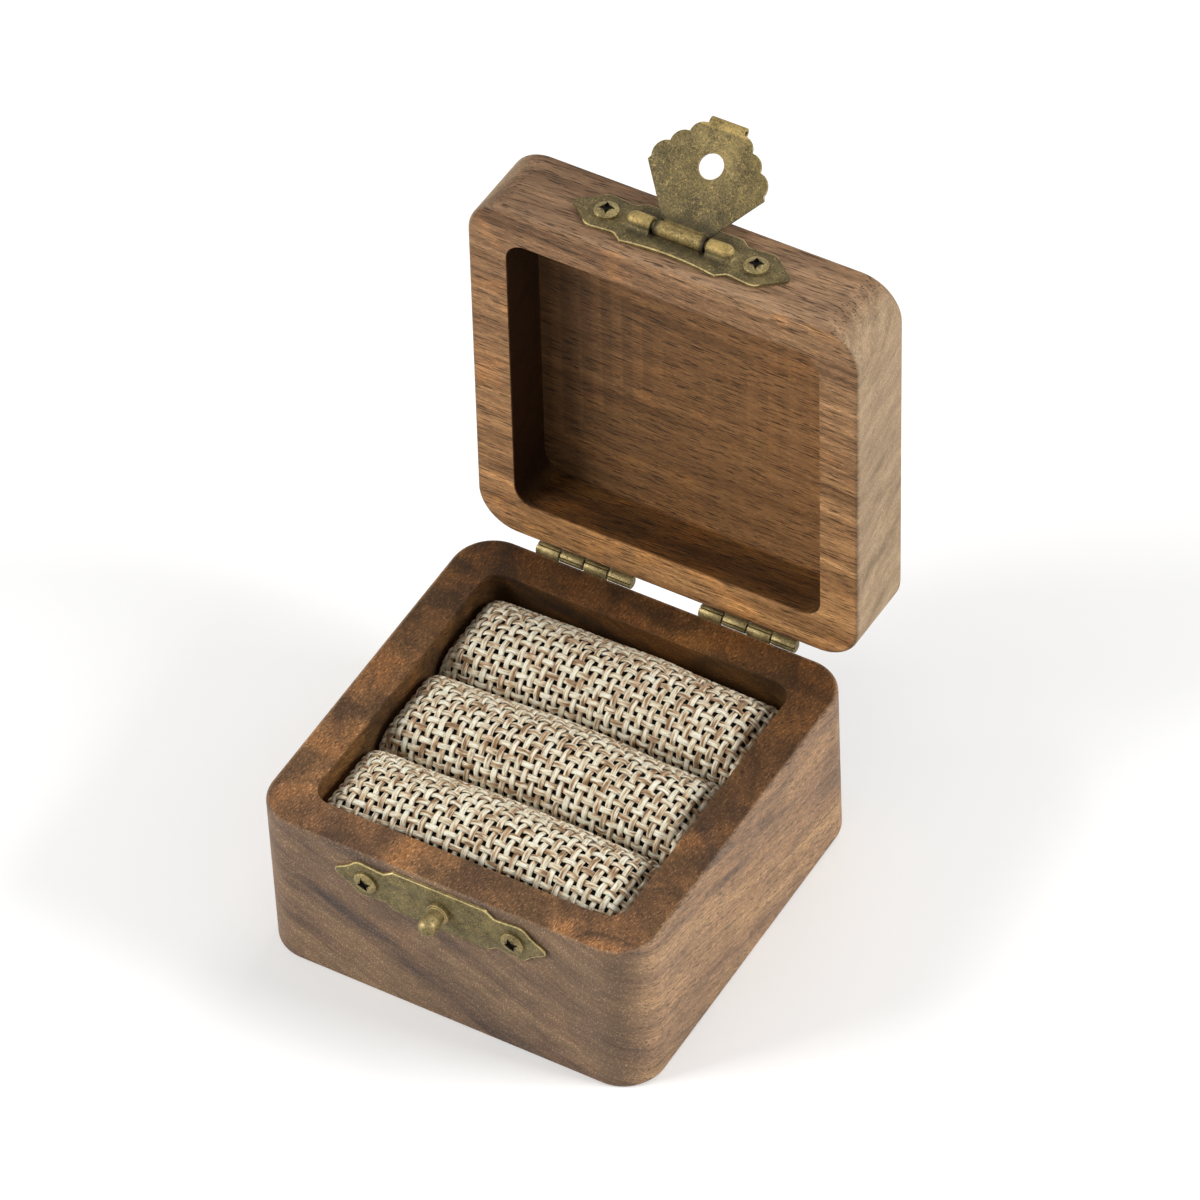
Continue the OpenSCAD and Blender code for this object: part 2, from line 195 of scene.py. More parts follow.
def as_shut(material, turned):
    """Coordinates in millimetres that lie in a block as they do with the box shut"""
    place = in_mm(material)
    if not turned:
        return place
    turn = Matrix.Rotation(turned, 3, "X")
    pivot = Vector(hinge_axis)
    return add(material, "ShaderNodeMapping", {
        "Vector": place, "Rotation": (turned, 0, 0), "Location": pivot - turn @ pivot}).outputs[0]


def zones(material, place, rim_z, inward, height):
    """Where a block's outer faces and its pocket are, from 0 to 1, and the depth from its rim"""
    x, y, z = separate(material, place)
    past = [larger(material, less(material, apart(material, line), box_half - corner_r), 0.0)
            for line in (x, y)]
    out_by = hypotenuse(material, *past)
    depth = product(material, less(material, z, rim_z), inward)
    outer = larger(material, smooth_step(material, out_by, corner_r - 0.7, corner_r - 0.1),
                   smooth_step(material, depth, height - 0.8, height - 0.2))
    within = larger(material, apart(material, x), apart(material, y))
    pocket = product(material, smooth_step(material, within, pocket_reach, pocket_reach - 0.6),
                     smooth_step(material, depth, 0.02, 0.5),
                     smooth_step(material, depth, height - 1.0, height - 2.0))
    return outer, pocket, depth


def plank_figure(material, wood, tones, figure, streak, streak_dark):
    """Broad growth bands crossed by finer streaks, which sway together"""
    sway = tinted(material, spread_noise(material, wood, (60, 24, 30), 2.0), (6.0, 6.0, 6.0))
    swayed = add(material, "ShaderNodeVectorMath", {0: wood, 1: sway}, operation="ADD").outputs[0]
    bands = spread_noise(material, swayed, figure, 4.0, 0.6)
    colour = ramp(material, bands, list(zip((0.32, 0.46, 0.56, 0.7), tones)))
    streaks = spread_noise(material, swayed, streak, 4.0, 0.6)
    return tinted(material, colour, ramp(material, streaks, [(0.3, streak_dark), (0.48, 0.96), (0.7, 1.2)]))


def curly(material, place, curl):
    """Warm light and dark clouds that cross the grain, darker as curl grows"""
    clouds = spread_noise(material, place, (12.0, 9.0, 9.0), 3.0, 0.5, 1.0)
    dark = (1.0 - curl, 1.0 - 0.94 * curl, 1.0 - 0.84 * curl)
    return ramp(material, clouds, [(0.35, (1.34, 1.25, 1.1)), (0.46, (1.0, 1.0, 1.0)), (0.61, dark)])


def cutter_steps_and_floor_shade(material, place, x, y, strength):
    """Brightness of the faint square steps that the cutter left, and of the floor towards its right: painted
    shade that keeps the floor darker under its left wall
    """
    ring = larger(material, apart(material, x, -1.5), apart(material, y, -3.0))
    saw = math_node(material, "FRACT", product(material, ring, 1 / cutter_step))
    step = less(material, ramp(material, saw, [(0.0, 0.0), (0.1, 1.0), (0.5, 0.6), (0.6, 0.0)]), 0.5)
    patchy = ramp(material, spread_noise(material, place, (16, 22, 16), 1.0), [(0.4, 0.1), (0.6, 0.5)])
    step = product(material, step, math_node(material, "ADD", patchy, smooth_step(material, x, 4.0, -16.0)))
    # Painted shade: the floor darker towards its left wall and brighter towards its right
    to_right = straight_step(material, x, -lid_floor_half, lid_floor_half)
    return product(material, math_node(material, "ADD", 1.0, product(material, step, strength)),
                   ramp(material, to_right, [(0.0, 0.8), (0.5, 1.1), (1.0, 1.55)]))


def walnut(name, *, turned, rim_z, inward, height, grain, layers, tones, figure, streak, streak_dark,
           pore, pore_dark, pore_pale, tints, curl=0.0, milled=0.0):
    """Walnut cut from a plank whose fibres run along grain and whose growth layers face layers"""
    material = new_material(name)
    place = as_shut(material, turned)
    x, y, _ = separate(material, place)
    outer, pocket, depth = zones(material, place, rim_z, inward, height)
    fibre_way = Vector(grain).normalized()
    across = Vector(layers).cross(fibre_way).normalized()
    plank_turn = Matrix((fibre_way, across, fibre_way.cross(across))).to_euler()
    wood = add(material, "ShaderNodeMapping", {"Vector": place, "Rotation": plank_turn}).outputs[0]
    facing = add(material, "ShaderNodeVectorMath", {
        0: add(material, "ShaderNodeTexCoord").outputs["Normal"],
        1: Matrix.Rotation(-turned, 3, "X") @ fibre_way}, operation="DOT_PRODUCT").outputs["Value"]
    end_grain = ramp(material, apart(material, facing), [(0.34, 0.0), (0.8, 1.0)])
    side_grain = less(material, 1.0, end_grain)

    colour = plank_figure(material, wood, tones, figure, streak, streak_dark)
    colour = tinted(material, colour, curly(material, place, curl),
                    less(material, 1.0, product(material, outer, 0.75)))
    fibre = spread_noise(material, wood, (1.7, 0.17, 0.17), 2.0, 0.7)
    colour = tinted(material, colour, ramp(material, fibre, [(0.25, 0.74), (0.5, 1.0), (0.75, 1.27)]))
    if milled:
        in_floor = product(material, pocket, smooth_step(
            material, depth, lid_pocket_deep - 0.8, lid_pocket_deep - 0.2))
        calm = larger(material, product(material, in_floor, 0.5), product(material, end_grain, 0.45))
        calm_tone = ramp(material, spread_noise(material, wood, (2.4, 0.5, 0.35), 4.0, 0.7),
                         [(0.3, 0.75), (0.7, 1.3)])
        colour = mix(material, calm, colour, tinted(material, calm_tone, tones[2]))

    open_pore = ramp(material, spread_noise(material, wood, pore, 2.0, 0.5), [(0.55, 0.0), (0.64, 1.0)])
    colour = mix(material, product(material, open_pore, side_grain, pore_dark), colour,
                 tuple(0.3 * tone for tone in tones[0]))
    filled_pore = ramp(material, spread_noise(material, wood, (0.6, 0.22, 0.22), 1.0, 0.6),
                       [(0.58, 0.0), (0.64, 1.0)])
    speckled = product(material, less(material, 1.0, product(material, outer, side_grain, 0.55)),
                       filled_pore, pore_pale)
    colour = tinted(material, colour, (2.3, 2.3, 2.4), speckled)

    # Painted light: the rim's tint runs from its front to its back, standing in for the sheen and shade that
    # fall unevenly along the rim
    rim = less(material, less(material, 1.0, outer, True), pocket, True)
    to_back = straight_step(material, y, -box_half, box_half)
    colour = tinted(material, colour, mix(material, to_back, tints["rim_front"], tints["rim_back"]), rim)
    # Painted shade: the pocket tint darkens the pocket's walls; the end tint darkens its end-grain walls,
    # partly for their darker end grain and partly as painted shade
    colour = tinted(material, colour, tints["pocket"], pocket)
    colour = tinted(material, colour, tints["outer_end"], product(material, end_grain, outer))
    colour = tinted(material, colour, tints["pocket_end_grain_and_shade"], product(material, end_grain, pocket))
    height_map = less(material, product(material, fibre, 0.4), product(material, open_pore, 0.6))
    if milled:
        # Cutter steps and painted shade on the lid pocket's floor
        colour = tinted(material, colour, cutter_steps_and_floor_shade(material, place, x, y, milled), in_floor)
        # Painted shade: the lid pocket's walls darker than its floor
        colour = tinted(material, colour, tints["pocket_wall_shade"], less(material, pocket, in_floor, True))
        ridge = math_node(material, "SINE", product(material, depth, 2 * math.pi / cutter_ridge))
        height_map = math_node(material, "ADD", height_map, product(material, ridge, pocket, 0.35))
    rough = ramp(material, fibre, [(0.2, 0.52), (0.8, 0.68)])
    return finish_material(material, colour, rough, height_map, 0.03, **{"Specular IOR Level": 0.22})


def give(piece, *materials):
    """Gives a piece these materials in place of the ones it has"""
    piece.data.materials.clear()
    for material in materials:
        piece.data.materials.append(material)


box_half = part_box("base_box")[1].x / MM
rim_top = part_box("base_box")[1].z / MM
corner_r = 6.2
pocket_reach = 25.2
give(nodes["base_box"], walnut(
    "walnut_base", turned=0.0, rim_z=rim_top, inward=-1.0, height=rim_top,
    grain=(0.1, 0.95, -0.26), layers=(0.36, 0.24, 0.9),
    tones=((0.12, 0.08, 0.057), (0.24, 0.142, 0.08), (0.285, 0.172, 0.092), (0.36, 0.22, 0.114)),
    figure=(38, 30, 4.2), streak=(9, 4.0, 0.5), streak_dark=0.76,
    pore=(1.6, 0.22, 0.22), pore_dark=0.6, pore_pale=0.75, curl=0.5,
    tints={"rim_front": (0.73, 0.6, 0.47), "rim_back": (0.34, 0.24, 0.125), "pocket": (0.39, 0.3, 0.17),
           "outer_end": (0.57, 0.59, 0.64), "pocket_end_grain_and_shade": (0.6, 0.54, 0.4)}))

# Lid: a second block from a straighter plank, with the grain from side to side.
# Its pocket was milled in square rounds, which left faint steps in its floor and ridges in its walls.


def joint(name):
    """The record's entry for one joint"""
    return next(j for j in frame["record"]["behaviour"]["joints"] if j["name"] == name)


hinge_axis = [c / MM for c in joint("lid_hinge")["pos_m"]]
lid_open = math.radians(joint("lid_hinge")["range_deg"][1])
rim_gap = 0.1
lid_height = 12.3
lid_pocket_deep = 8.4
lid_floor_half = 24.0
cutter_step = 3.2
cutter_ridge = 0.42
give(nodes["lid_box"], walnut(
    "walnut_lid", turned=lid_open, rim_z=rim_top + rim_gap, inward=1.0, height=lid_height,
    grain=(1.0, 0.02, 0.04), layers=(0.0, -1.0, -0.45),
    tones=((0.085, 0.045, 0.022), (0.19, 0.108, 0.058), (0.235, 0.138, 0.074), (0.33, 0.2, 0.11)),
    figure=(60, 7, 2.4), streak=(12, 0.9, 0.4), streak_dark=0.62,
    pore=(3.2, 0.21, 0.17), pore_dark=0.85, pore_pale=0.25, milled=0.22,
    tints={"rim_front": (1.07, 1.0, 0.9), "rim_back": (1.75, 1.55, 1.12), "pocket": (0.68, 0.56, 0.39),
           "outer_end": (1.16, 1.36, 1.47), "pocket_end_grain_and_shade": (0.25, 0.2, 0.13),
           "pocket_wall_shade": (0.7, 0.62, 0.42)}))

# Card: a piece of grey board at the bottom of the pocket, under the rolls.
# The rolls stand on it and hide it when the box is whole.

card = new_material("grey_board")
card_flecks = spread_noise(card, in_mm(card), (1.2, 0.5, 0.5), 4.0, 0.7)
card_tone = ramp(card, card_flecks, [(0.3, (0.22, 0.19, 0.15)), (0.7, (0.36, 0.32, 0.26))])
give(nodes["insert_board"], finish_material(card, card_tone, 0.9, card_flecks, 0.05))

# Rolls: three foam bars side by side, each wrapped in burlap that is tucked down at its ends.
# A bar is shaped first and then swelled above its held edges as stuffed foam is, and the burlap is
# woven over it yarn by yarn.

roll_low, roll_high = (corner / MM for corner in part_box("cover_middle"))
pocket_half = (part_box("insert_board")[1] / MM).x
roll_half = (roll_high.y - roll_low.y) / 2
roll_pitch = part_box("cover_back")[0].y / MM + roll_half - (roll_high.y + roll_low.y) / 2

# Form of a bar and its cloth: rounded over sides and ends, crowned, and a little lumpy
cloth_t = 0.7
under_cloth = cloth_t / 2 + 0.12
shoulder_r = 5.9
end_r = 4.8
corner_power = 2.2
crown = 1.1
lump = 0.35
lump_size = 9.0
tuck = 12.0
pocket_corner_r = 2.9
sheet_step = 0.8

# Yarns: how far apart they lie along and across the roll, their section, and how uneven they are
yarn_apart = (1.41, 1.5)
yarn_half_w = 0.43
yarn_half_t = 0.2
yarn_sides = 10
steps_per_crossing = 4
slow_drift = 0.16
quick_drift = 0.07
slub = 0.16
hem = 1.0

# Swelling: worked out on an enlarged bar, capped, and held from a depth below the bar's top
sim_scale = 25.0
sim_frames = 20
swell_most = 1.1
held_from = 5.0
held_over = 3.0


def wrapped(run, half, radius):
    """How far out and how far down a strip goes that lies flat and then bends over an edge"""
    flat = half - radius
    bend = np.clip((np.abs(run) - flat) / radius, 0, math.pi / 2)
    beyond = np.maximum(np.abs(run) - flat - radius * math.pi / 2, 0)
    out = np.sign(run) * (np.minimum(np.abs(run), flat) + radius * np.sin(bend))
    return out, radius * (1 - np.cos(bend)) + beyond


def run_to(drop, half, radius):
    """Length of strip from the middle to a given drop"""
    return half - radius + radius * math.pi / 2 + drop - radius


def uneven(u, v, seed, size):
    """Smooth unevenness between -1 and 1 over the sheet"""
    values = [noise.noise(Vector((a / size, b / size, seed))) for a, b in zip(u.ravel(), v.ravel())]
    return np.array(values).reshape(u.shape)


def sheet_point(row, u, v, inset):
    """Place of the sheet's point (u along the roll, v across it), inset below the outer form"""
    x, drop_x = wrapped(u, pocket_half - inset, end_r - inset)
    y, drop_y = wrapped(v, roll_half - inset, shoulder_r - inset)
    drop = (drop_x ** corner_power + drop_y ** corner_power) ** (1 / corner_power)
    z = roll_high.z - inset - drop
    z = z + crown * (np.cos(math.pi * np.clip(x / pocket_half, -1, 1)) * 0.5 - 0.2)
    z = z + lump * uneven(x, y, 20.0 + row * 5, lump_size)
    y = y + row * roll_pitch
    corner = pocket_half - pocket_corner_r
    past_x = np.maximum(np.abs(x) - corner, 0)
    past_y = np.maximum(np.abs(y) - corner, 0)
    past = np.maximum(np.hypot(past_x, past_y), 1e-9)
    pull = np.minimum(1, (pocket_corner_r - inset) / past)
    both = (past_x > 0) & (past_y > 0)
    x = np.where(both, np.sign(x) * (corner + past_x * pull), x)
    y = np.where(both, np.sign(y) * (corner + past_y * pull), y)
    return np.stack([x, y, z], axis=-1)


class Sheet:
    """A grid of points over (u, v), the lengths along and across the roll"""

    def __init__(self, us, vs, points):
        self.us = us
        self.vs = vs
        self.points = points

    def at(self, u, v):
        """The point at (u, v), read between the grid's points"""
        s = np.clip((u - self.us[0]) / (self.us[1] - self.us[0]), 0, len(self.us) - 1.001)
        t = np.clip((v - self.vs[0]) / (self.vs[1] - self.vs[0]), 0, len(self.vs) - 1.001)
        i = s.astype(int)
        j = t.astype(int)
        a = (s - i)[..., None]
        b = (t - j)[..., None]
        p = self.points
        return ((p[i, j] * (1 - a) + p[i + 1, j] * a) * (1 - b)
                + (p[i, j + 1] * (1 - a) + p[i + 1, j + 1] * a) * b)

    def grid(self):
        """Every u and v of the grid's points"""
        return np.meshgrid(self.us, self.vs, indexing="ij")

    def normal(self, u, v):
        """The direction straight out of the sheet at (u, v)"""
        reach = 0.6
        along = self.at(u + reach, v) - self.at(u - reach, v)
        over = self.at(u, v + reach) - self.at(u, v - reach)
        out = np.cross(along, over)
        return out / np.maximum(np.linalg.norm(out, axis=-1, keepdims=True), 1e-9)


def new_piece(name, mesh):
    """A smooth object with this mesh"""
    mesh.shade_smooth()
    piece = bpy.data.objects.new(name, mesh)
    bpy.context.scene.collection.objects.link(piece)
    return piece


def shaped_sheet(row):
    """The sheet's middle surface over one bar"""
    inset = cloth_t / 2
    u_end = run_to(tuck, pocket_half - inset, end_r - inset)
    v_end = run_to(tuck, roll_half - inset, shoulder_r - inset)
    us = np.linspace(-u_end, u_end, int(2 * u_end / sheet_step))
    vs = np.linspace(-v_end, v_end, int(2 * v_end / sheet_step))
    grid_u, grid_v = np.meshgrid(us, vs, indexing="ij")
    return Sheet(us, vs, sheet_point(row, grid_u, grid_v, inset))


def add_tube(parts, points, normals, half_w, half_t, number):
    """One yarn: two strands side by side, swept along its points"""
    steps = len(points)
    forward = np.gradient(points, axis=0)
    forward /= np.maximum(np.linalg.norm(forward, axis=1, keepdims=True), 1e-9)
    out = normals - forward * (normals * forward).sum(1, keepdims=True)
    out /= np.maximum(np.linalg.norm(out, axis=1, keepdims=True), 1e-9)
    side = np.cross(forward, out)
    turn = np.arange(yarn_sides) * 2 * math.pi / yarn_sides
    groove = 1 - 0.25 * np.exp(-(np.cos(turn) / 0.3) ** 2)
    rings = (points[:, None] + side[:, None] * (np.cos(turn) * half_w[:, None])[..., None]
             + out[:, None] * (np.sin(turn) * groove * half_t)[..., None])
    first = sum(len(r) for r in parts["verts"])
    parts["verts"].append(rings.reshape(-1, 3))
    s, k = np.meshgrid(np.arange(steps - 1), np.arange(yarn_sides), indexing="ij")
    k2 = (k + 1) % yarn_sides
    near, far = s * yarn_sides, (s + 1) * yarn_sides
    quads = np.stack([near + k, near + k2, far + k2, far + k], -1)
    parts["quads"].append(quads.reshape(-1, 4) + first)
    length = np.concatenate([[0], np.cumsum(np.linalg.norm(np.diff(points, axis=0), axis=1))])
    around = np.stack([k, k + 1, k + 1, k], -1) / yarn_sides + 3.0 * number
    down = np.stack([length[s], length[s], length[s + 1], length[s + 1]], -1)
    parts["uvs"].append(np.stack([around, down], -1).reshape(-1, 2))
    parts["ends"].append([first + i for i in range(yarn_sides)][::-1])
    parts["ends"].append([first + (steps - 1) * yarn_sides + i for i in range(yarn_sides)])


def woven(name, row, sheet):
    """Plain weave of flat two-strand yarns over the sheet"""
    parts = {"verts": [], "quads": [], "uvs": [], "ends": []}
    counts = (int((sheet.us[-1] - hem) / yarn_apart[0]), int((sheet.vs[-1] - hem) / yarn_apart[1]))
    for lengthwise in (True, False):
        reach, beside = counts if lengthwise else counts[::-1]
        for i in range(-beside, beside + 1):
            run = np.linspace(-reach - 0.5, reach + 0.5, (2 * reach + 1) * steps_per_crossing + 1)
            line = np.full_like(run, float(i))
            lift = np.cos(math.pi * (run + i)) * (1 if lengthwise else -1)
            lift = np.sign(lift) * np.abs(lift) ** 0.8
            u, v = (run, line) if lengthwise else (line, run)
            seed = row * 10.0 + (3.0 if lengthwise else 7.0)
            drift = uneven(u, v, seed, 5.0) * slow_drift + uneven(u, v, seed + 1, 1.7) * quick_drift
            u, v = (u, v + drift) if lengthwise else (u + drift, v)
            u, v = u * yarn_apart[0], v * yarn_apart[1]
            normals = sheet.normal(u, v)
            points = sheet.at(u, v) + normals * (lift * yarn_half_t)[:, None]
            width = yarn_half_w * (1 + slub * uneven(u, v, seed + 2, 4.0))
            number = i + (200 if lengthwise else 0) + 400 * (row + 1)
            add_tube(parts, points, normals, width, yarn_half_t, number)
    mesh = bpy.data.meshes.new(name)
    verts = np.concatenate(parts["verts"]) * MM
    quads = np.concatenate(parts["quads"]).tolist()
    mesh.from_pydata(verts.tolist(), [], quads + parts["ends"])
    layer = mesh.uv_layers.new(name="yarn")
    uvs = np.concatenate(parts["uvs"])
    flat = np.zeros((len(mesh.loops), 2))
    flat[:len(uvs)] = uvs
    layer.data.foreach_set("uv", flat.ravel())
    return new_piece(name, mesh)


def foam_bar(name, sheet):
    """The bar under the sheet, closed below"""
    top = sheet.points - sheet.normal(*sheet.grid()) * under_cloth
    index = np.arange(len(sheet.us) * len(sheet.vs)).reshape(len(sheet.us), len(sheet.vs))
    faces = np.stack([index[:-1, :-1], index[1:, :-1], index[1:, 1:], index[:-1, 1:]], -1).reshape(-1, 4)
    rim = list(index[:, 0]) + list(index[-1, 1:]) + list(index[-2::-1, -1]) + list(index[0, -2:0:-1])
    mesh = bpy.data.meshes.new(name)
    mesh.from_pydata((top.reshape(-1, 3) * MM).tolist(), [], faces.tolist() + [[int(i) for i in rim[::-1]]])
    return new_piece(name, mesh)


def places(mesh):
    """The mesh's points as an array"""
    flat = np.empty(len(mesh.vertices) * 3)
    mesh.vertices.foreach_get("co", flat)
    return flat.reshape(-1, 3)


def stuffed(bar, sheet):
    """Swells the bar above its held edges, and lays the sheet on it again"""
    before = places(bar.data)
    bar.data.vertices.foreach_set("co", (before * sim_scale).ravel())
    held = bar.vertex_groups.new(name="held")
    for i, z in enumerate(before[:, 2]):
        held.add([i], float(np.clip((roll_high.z - held_from - z / MM) / held_over, 0, 1)), "REPLACE")
    cloth = bar.modifiers.new("stuffing", "CLOTH")
    cloth.settings.vertex_group_mass = "held"
    cloth.settings.effector_weights.gravity = 0
    cloth.settings.use_pressure = True
    cloth.settings.uniform_pressure_force = 60.0
    cloth.settings.tension_stiffness = 8
    cloth.settings.compression_stiffness = 8
    cloth.settings.bending_stiffness = 0.3
    cloth.point_cache.frame_end = sim_frames
    scene = bpy.context.scene
    for frame_number in range(1, sim_frames + 1):
        scene.frame_set(frame_number)
    bpy.context.view_layer.objects.active = bar
    bpy.ops.object.modifier_apply(modifier="stuffing")
    scene.frame_set(1)
    moved = places(bar.data) / sim_scale - before
    far = np.linalg.norm(moved, axis=1, keepdims=True)
    moved *= np.minimum(1, swell_most * MM / np.maximum(far, 1e-9))
    after = before + moved
    bar.data.vertices.foreach_set("co", after.ravel())
    bar.data.update()
    loose = Sheet(sheet.us, sheet.vs, after.reshape(*sheet.points.shape) / MM)
    return Sheet(sheet.us, sheet.vs, loose.points + loose.normal(*loose.grid()) * under_cloth)


burlap = new_material("burlap")
yarn_uv = add(burlap, "ShaderNodeUVMap", uv_map="yarn").outputs[0]
tone_map = add(burlap, "ShaderNodeMapping", {"Vector": yarn_uv, "Scale": (3.6, 0.28, 1.0)}).outputs[0]
yarn_tone = add(burlap, "ShaderNodeTexNoise", {
    "Vector": tone_map, "Scale": 1.0, "Detail": 2.0, "Roughness": 0.55}, noise_dimensions="2D").outputs[0]
yarn_colour = ramp(burlap, yarn_tone, [
    (0.32, (0.27, 0.165, 0.09)), (0.42, (0.55, 0.38, 0.24)), (0.49, (0.76, 0.67, 0.5)),
    (0.58, (0.84, 0.8, 0.65)), (0.75, (0.9, 0.87, 0.74))])
fibre_map = add(burlap, "ShaderNodeMapping", {"Vector": yarn_uv, "Scale": (14.0, 0.7, 1.0)}).outputs[0]
yarn_fibre = add(burlap, "ShaderNodeTexNoise", {
    "Vector": fibre_map, "Scale": 1.0, "Detail": 4.0, "Roughness": 0.65}, noise_dimensions="2D").outputs[0]
yarn_colour = tinted(burlap, yarn_colour, ramp(
    burlap, yarn_fibre, [(0.3, (0.45, 0.4, 0.32)), (0.45, (0.9, 0.89, 0.86)), (0.7, (1.05, 1.05, 1.03))]))
finish_material(burlap, yarn_colour, 0.9, yarn_fibre, 0.12, **{"Specular IOR Level": 0.2})

foam = new_material("black_foam")
foam_cells = spread_noise(foam, in_mm(foam), (0.3, 0.3, 0.3), 2.0, 0.6)
finish_material(foam, ramp(foam, foam_cells, [(0.3, (0.006, 0.005, 0.004)), (0.7, (0.02, 0.017, 0.014))]),
                0.95, foam_cells, 0.1)

for roll_name, row in (("back", 1), ("middle", 0), ("front", -1)):
    sheet = shaped_sheet(row)
    bar = foam_bar("bar_" + roll_name, sheet)
    sheet = stuffed(bar, sheet)
    give(bar, foam)
    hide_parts("foam_" + roll_name)
    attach(bar, "base")
    cloth = woven("burlap_" + roll_name, row, sheet)
    give(cloth, burlap)
    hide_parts("cover_" + roll_name)
    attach(cloth, "base")

# Hardware: thin pressed sheet and turned pins, plated in antique bronze, with painted golden
# highlights on the humps, the flap and its barrel, and painted shade in the crevices, the screw
# recesses and on the screw heads. Each piece but the three pins is a copy of the built one, welded,
# with its sheared edges rounded.

old_gold = (0.5, 0.35, 0.12)
# Colour of the painted highlight on the humps, flap and barrel
highlight_gold = (0.4, 0.285, 0.1)
# Colour of the painted shade at the humps' foot and the barrel's ends
shade_black = (0.02, 0.016, 0.008)


def hairlines(material, place, spacing, width):
    """Fragments of fine curved scratches"""
    sway = add(material, "ShaderNodeTexNoise", {"Vector": place, "Scale": 1.1}).outputs[1]
    bent = add(material, "ShaderNodeVectorMath", {
        0: place, 1: tinted(material, sway, (1.6, 1.6, 1.6))}, operation="ADD").outputs[0]
    cells = add(material, "ShaderNodeTexVoronoi", {
        "Vector": bent, "Scale": 1 / spacing}, feature="DISTANCE_TO_EDGE").outputs[0]
    line = smooth_step(material, cells, width / spacing, 0.0)
    broken = spread_noise(material, place, (0.9, 0.9, 0.9), 2.0, 0.6)
    return product(material, line, ramp(material, broken, [(0.45, 0.0), (0.6, 1.0)]))


def bronze(name, dark, mid, bright, *, rub, scratch=old_gold, painted_highlight=None, painted_shade=None, gloss=0.0):
    """Dull plating with fine scratches. The two optional functions say where a painted golden highlight and a
    painted black shade go
    """
    material = new_material(name)
    mm = in_mm(material)
    cloud = spread_noise(material, mm, (3.4, 3.4, 3.4), 4.0, 0.65)
    grit = spread_noise(material, mm, (0.26, 0.26, 0.26), 3.0, 0.7)
    both = math_node(material, "ADD", product(material, cloud, 0.5), product(material, grit, 0.5))
    colour = ramp(material, both, [(0.38, dark), (0.5, mid), (0.63, bright)])
    aslant = add(material, "ShaderNodeMapping", {"Vector": mm, "Rotation": (0.7, 0.5, 0.9)}).outputs[0]
    lines = larger(material, hairlines(material, mm, 1.3, 0.035), hairlines(material, aslant, 0.75, 0.03))
    colour = mix(material, product(material, lines, rub), colour, scratch)
    # Painted highlight: golden where the highlight function says, mottled by the plating's noise
    if painted_highlight is not None:
        highlight_mask = product(material, painted_highlight(material, mm), ramp(material, both, [(0.41, 0.25), (0.56, 1.0)]))
        colour = mix(material, highlight_mask, colour, highlight_gold)
    # Painted shade: near black where the shade function says
    if painted_shade is not None:
        colour = mix(material, painted_shade(material, mm), colour, shade_black)
    rough = ramp(material, grit, [(0.3, 0.66 - gloss), (0.7, 0.52 - gloss)])
    return finish_material(material, colour, rough, grit, 0.025, **{
        "Metallic": 0.55, "Specular IOR Level": 0.25})


def rising(material, mm, way, low, high):
    """From 0 to 1 as the height along way goes from low to high"""
    height = add(material, "ShaderNodeVectorMath", {0: mm, 1: way}, operation="DOT_PRODUCT").outputs["Value"]
    return smooth_step(material, height, low, high)


def from_flap_pin(material, mm):
    """Distance from the flap's pin, and distance along it from its middle"""
    x, y, z = separate(material, mm)
    past = [less(material, line, middle) for line, middle in ((y, flap_axis[1]), (z, flap_axis[2]))]
    return hypotenuse(material, *past), apart(material, x)


def hump_highlight(material, mm):
    """Where the painted highlight goes: the crowns of the two humps"""
    plate_face = lid_front_at + sheet_t
    return rising(material, mm, lid_front, plate_face + 0.6, plate_face + 1.6)


def flap_highlight(material, mm):
    """Where the painted highlight goes on the flap: the curled lip and a little of the side next to it, and
    the middle of the rolled barrel
    """
    tip = flap_high.z + tip_lean * flap_high.x
    near_tip = product(material, rising(material, mm, (tip_lean, 0, 1), tip - 9.0, tip - 2.0), 0.22)
    away, aside = from_flap_pin(material, mm)
    lip = product(material, smooth_step(material, away, flap_reach - 2.1, flap_reach - 1.6), 0.95)
    barrel = product(material, smooth_step(material, away, barrel_r + 0.3, barrel_r),
                     smooth_step(material, aside, barrel_half, barrel_half - 1.1), 0.7)
    return larger(material, larger(material, near_tip, lip), barrel)


def shade_by_pin(material, mm):
    """Painted shade at the foot of the humps and along the barrel's ends"""
    away, aside = from_flap_pin(material, mm)
    foot = product(material, smooth_step(material, away, barrel_r + 2.2, barrel_r + 0.5),
                   smooth_step(material, away, barrel_r - 0.2, barrel_r + 0.3),
                   smooth_step(material, aside, barrel_half + 5.3, barrel_half + 2.3), 0.62)
    ends = product(material, smooth_step(material, aside, barrel_half - 0.8, barrel_half),
                   smooth_step(material, aside, barrel_half + 0.9, barrel_half + 0.2),
                   smooth_step(material, away, barrel_r + 1.0, barrel_r + 0.4), 0.85)
    return larger(material, foot, ends)


# Places on the open lid's front and on the flap, which the painted highlights and painted shade are counted
# from
lid_turn = Matrix.Rotation(-lid_open, 3, "X")
lid_front = lid_turn @ Vector((0, -1, 0))
shut_front = Vector((0, -box_half, 0))
lid_front_at = (lid_turn @ (shut_front - Vector(hinge_axis)) + Vector(hinge_axis)).dot(lid_front)
sheet_t = 0.5
flap_axis = [c / MM for c in joint("flap_hinge")["pos_m"]]
flap_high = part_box("hasp_flap")[1] / MM
flap_reach = math.hypot(flap_high.y - flap_axis[1], flap_high.z - flap_axis[2])
tip_lean = 0.35
barrel_r = 1.4
barrel_half = 3.7

